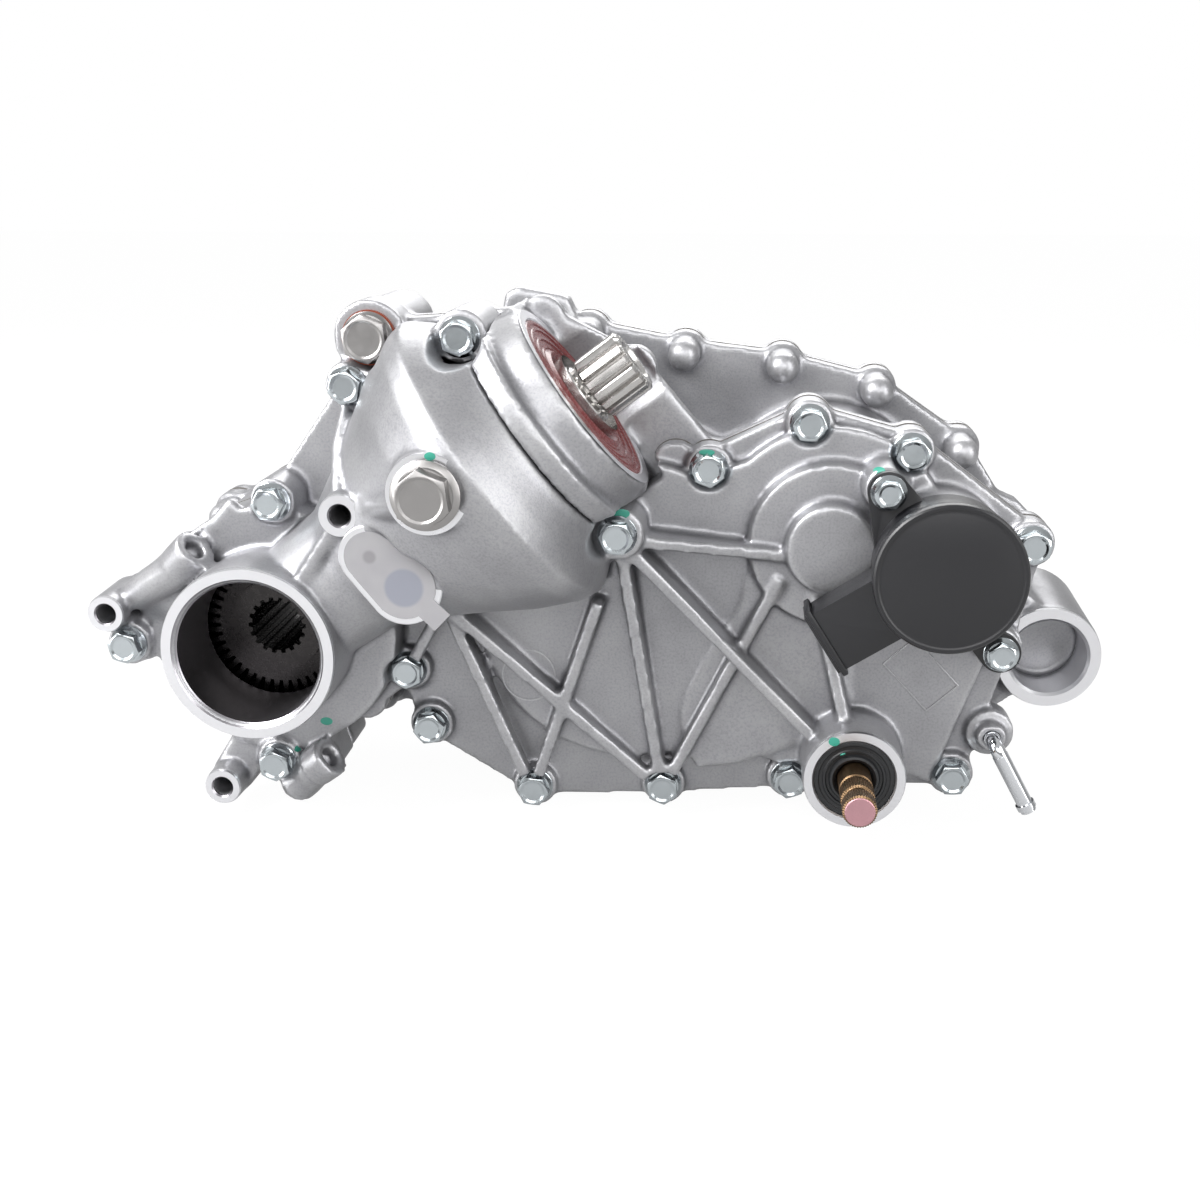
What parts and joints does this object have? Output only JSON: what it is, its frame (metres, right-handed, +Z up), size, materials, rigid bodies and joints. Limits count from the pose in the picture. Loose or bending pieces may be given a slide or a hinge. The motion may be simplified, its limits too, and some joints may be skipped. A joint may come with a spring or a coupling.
{
  "type": "low ratio gearbox",
  "caption": "Off-road gearbox in three bolted aluminium castings, with a ribbed cover, splined angled output, axle tube, shift shaft and position sensor.",
  "frame": {"origin": "on the axle axis, at the joint face between the ribbed front cover and the centre housing", "axes": "+X to the right, towards the small mounting tube; +Y away from the ribbed cover, along the shafts; +Z up"},
  "size_m": [0.4275, 0.2635, 0.2195],
  "materials": {
    "cast_aluminium": "fine shot-blasted casting, machined on its joint faces and rims",
    "gasket_fibre": "grey sheet gasket",
    "zinc_steel": "bright zinc plating",
    "plug_aluminium": "satin",
    "copper": "dull copper",
    "brown_rubber": "moulded, satin",
    "black_rubber": "moulded, matt",
    "chrome_tube": "polished",
    "clear_film": "frosted",
    "sensor_plastic": "fine texture",
    "gear_steel": "ground",
    "yellow_zinc": "yellow passivated",
    "spring_steel": "drawn wire"
  },
  "bodies": {
    "housing": {"front_cover": "cast_aluminium", "center_housing": "cast_aluminium", "rear_cover": "cast_aluminium", "front_gasket": "gasket_fibre", "rear_gasket": "gasket_fibre", "cover_bolts": "zinc_steel", "neck_bolts": "zinc_steel", "rear_bolts": "zinc_steel", "sensor_bolts": "zinc_steel", "dowel_pins": "gear_steel", "fill_plug": "plug_aluminium", "fill_plug_washer": "plug_aluminium", "level_plug": "plug_aluminium", "level_plug_washer": "copper", "output_seal": "brown_rubber", "shift_seal": "black_rubber", "input_seal": "black_rubber", "vent_pipe": "chrome_tube", "port_film": "clear_film", "position_sensor": "sensor_plastic", "input_bearings": "gear_steel", "mid_bearings": "gear_steel", "cross_bearings": "gear_steel", "output_bearings": "gear_steel", "hub_bearings": "gear_steel", "fork_rail": "gear_steel", "detent_screw": "plug_aluminium", "detent_spring": "spring_steel"},
    "input_train": {"input_shaft": "gear_steel", "input_inner_rings": "gear_steel", "input_low_pinion": "gear_steel", "input_high_pinion": "gear_steel"},
    "mid_train": {"mid_shaft": "gear_steel", "mid_inner_rings": "gear_steel", "mid_pinion": "gear_steel", "clutch_hub": "gear_steel"},
    "sleeve": {"clutch_sleeve": "gear_steel"},
    "high_wheel": {"high_gear": "gear_steel"},
    "low_wheel": {"low_gear": "gear_steel"},
    "cross_train": {"cross_shaft": "gear_steel", "cross_inner_rings": "gear_steel", "cross_gear": "gear_steel", "cross_bevel_pinion": "gear_steel"},
    "output_train": {"output_shaft": "gear_steel", "output_inner_rings": "gear_steel", "output_bevel_gear": "gear_steel"},
    "axle_train": {"axle_hub": "gear_steel", "hub_inner_rings": "gear_steel", "crown_wheel": "gear_steel"},
    "shift_train": {"shift_shaft": "yellow_zinc", "shift_drum": "gear_steel", "shift_sector": "gear_steel"},
    "sensor_rotor": {"rotor_sector": "gear_steel"},
    "fork": {"shift_fork": "gear_steel"},
    "detent": {"detent_plunger": "gear_steel"}
  },
  "joints": [
    {"name": "input_spin", "type": "hinge", "parent": "housing", "child": "input_train", "pos_m": [0.232, 0, 0.041], "axis": [0, 1, 0], "continuous": true},
    {"name": "mid_spin", "type": "hinge", "parent": "housing", "child": "mid_train", "pos_m": [0.15014, 0, 0.0087], "axis": [0, 1, 0], "continuous": true},
    {"name": "sleeve_slide", "type": "slide", "parent": "mid_train", "child": "sleeve", "axis": [0, 1, 0], "range_m": [-0.00301, 0.00301]},
    {"name": "high_gear_spin", "type": "hinge", "parent": "housing", "child": "high_wheel", "pos_m": [0.15014, 0, 0.0087], "axis": [0, 1, 0], "continuous": true},
    {"name": "low_gear_spin", "type": "hinge", "parent": "housing", "child": "low_wheel", "pos_m": [0.15014, 0, 0.0087], "axis": [0, 1, 0], "continuous": true},
    {"name": "cross_spin", "type": "hinge", "parent": "housing", "child": "cross_train", "pos_m": [0.07567, 0, 0.05744], "axis": [0, 1, 0], "continuous": true},
    {"name": "output_spin", "type": "hinge", "parent": "housing", "child": "output_train", "pos_m": [0, -0.03, 0], "axis": [0.7965, 0, 0.6046], "continuous": true},
    {"name": "axle_spin", "type": "hinge", "parent": "housing", "child": "axle_train", "pos_m": [0, 0, 0], "axis": [0, 1, 0], "continuous": true},
    {"name": "shift_turn", "type": "hinge", "parent": "housing", "child": "shift_train", "pos_m": [0.244, 0, -0.051], "axis": [0, 1, 0], "range_deg": [-20, 20]},
    {"name": "sensor_turn", "type": "hinge", "parent": "housing", "child": "sensor_rotor", "pos_m": [0.275, 0, 0.038], "axis": [0, 1, 0], "range_deg": [-14.9, 14.9]},
    {"name": "fork_slide", "type": "slide", "parent": "housing", "child": "fork", "axis": [0, 1, 0], "range_m": [-0.00301, 0.00301]},
    {"name": "detent_slide", "type": "slide", "parent": "housing", "child": "detent", "axis": [0, 0, -1], "range_m": [0, 0.0015], "stiffness_N_per_m": 600, "deforming": ["detent_spring"]}
  ],
  "couplings": [
    {"joint": "low_gear_spin", "follows": "input_spin", "ratio": -0.44262},
    {"joint": "high_gear_spin", "follows": "input_spin", "ratio": -0.69231},
    {"joint": "mid_spin", "follows": "input_spin", "ratio": -0.44262},
    {"joint": "cross_spin", "follows": "input_spin", "ratio": 0.34525},
    {"joint": "output_spin", "follows": "input_spin", "ratio": -0.15011},
    {"joint": "axle_spin", "follows": "input_spin", "ratio": 0.057184},
    {"joint": "sensor_turn", "follows": "shift_turn", "ratio": -0.74074},
    {"joint": "fork_slide", "follows": "shift_turn", "m_per_rad": 0.0085944},
    {"joint": "sleeve_slide", "follows": "shift_turn", "m_per_rad": 0.0085944}
  ]
}
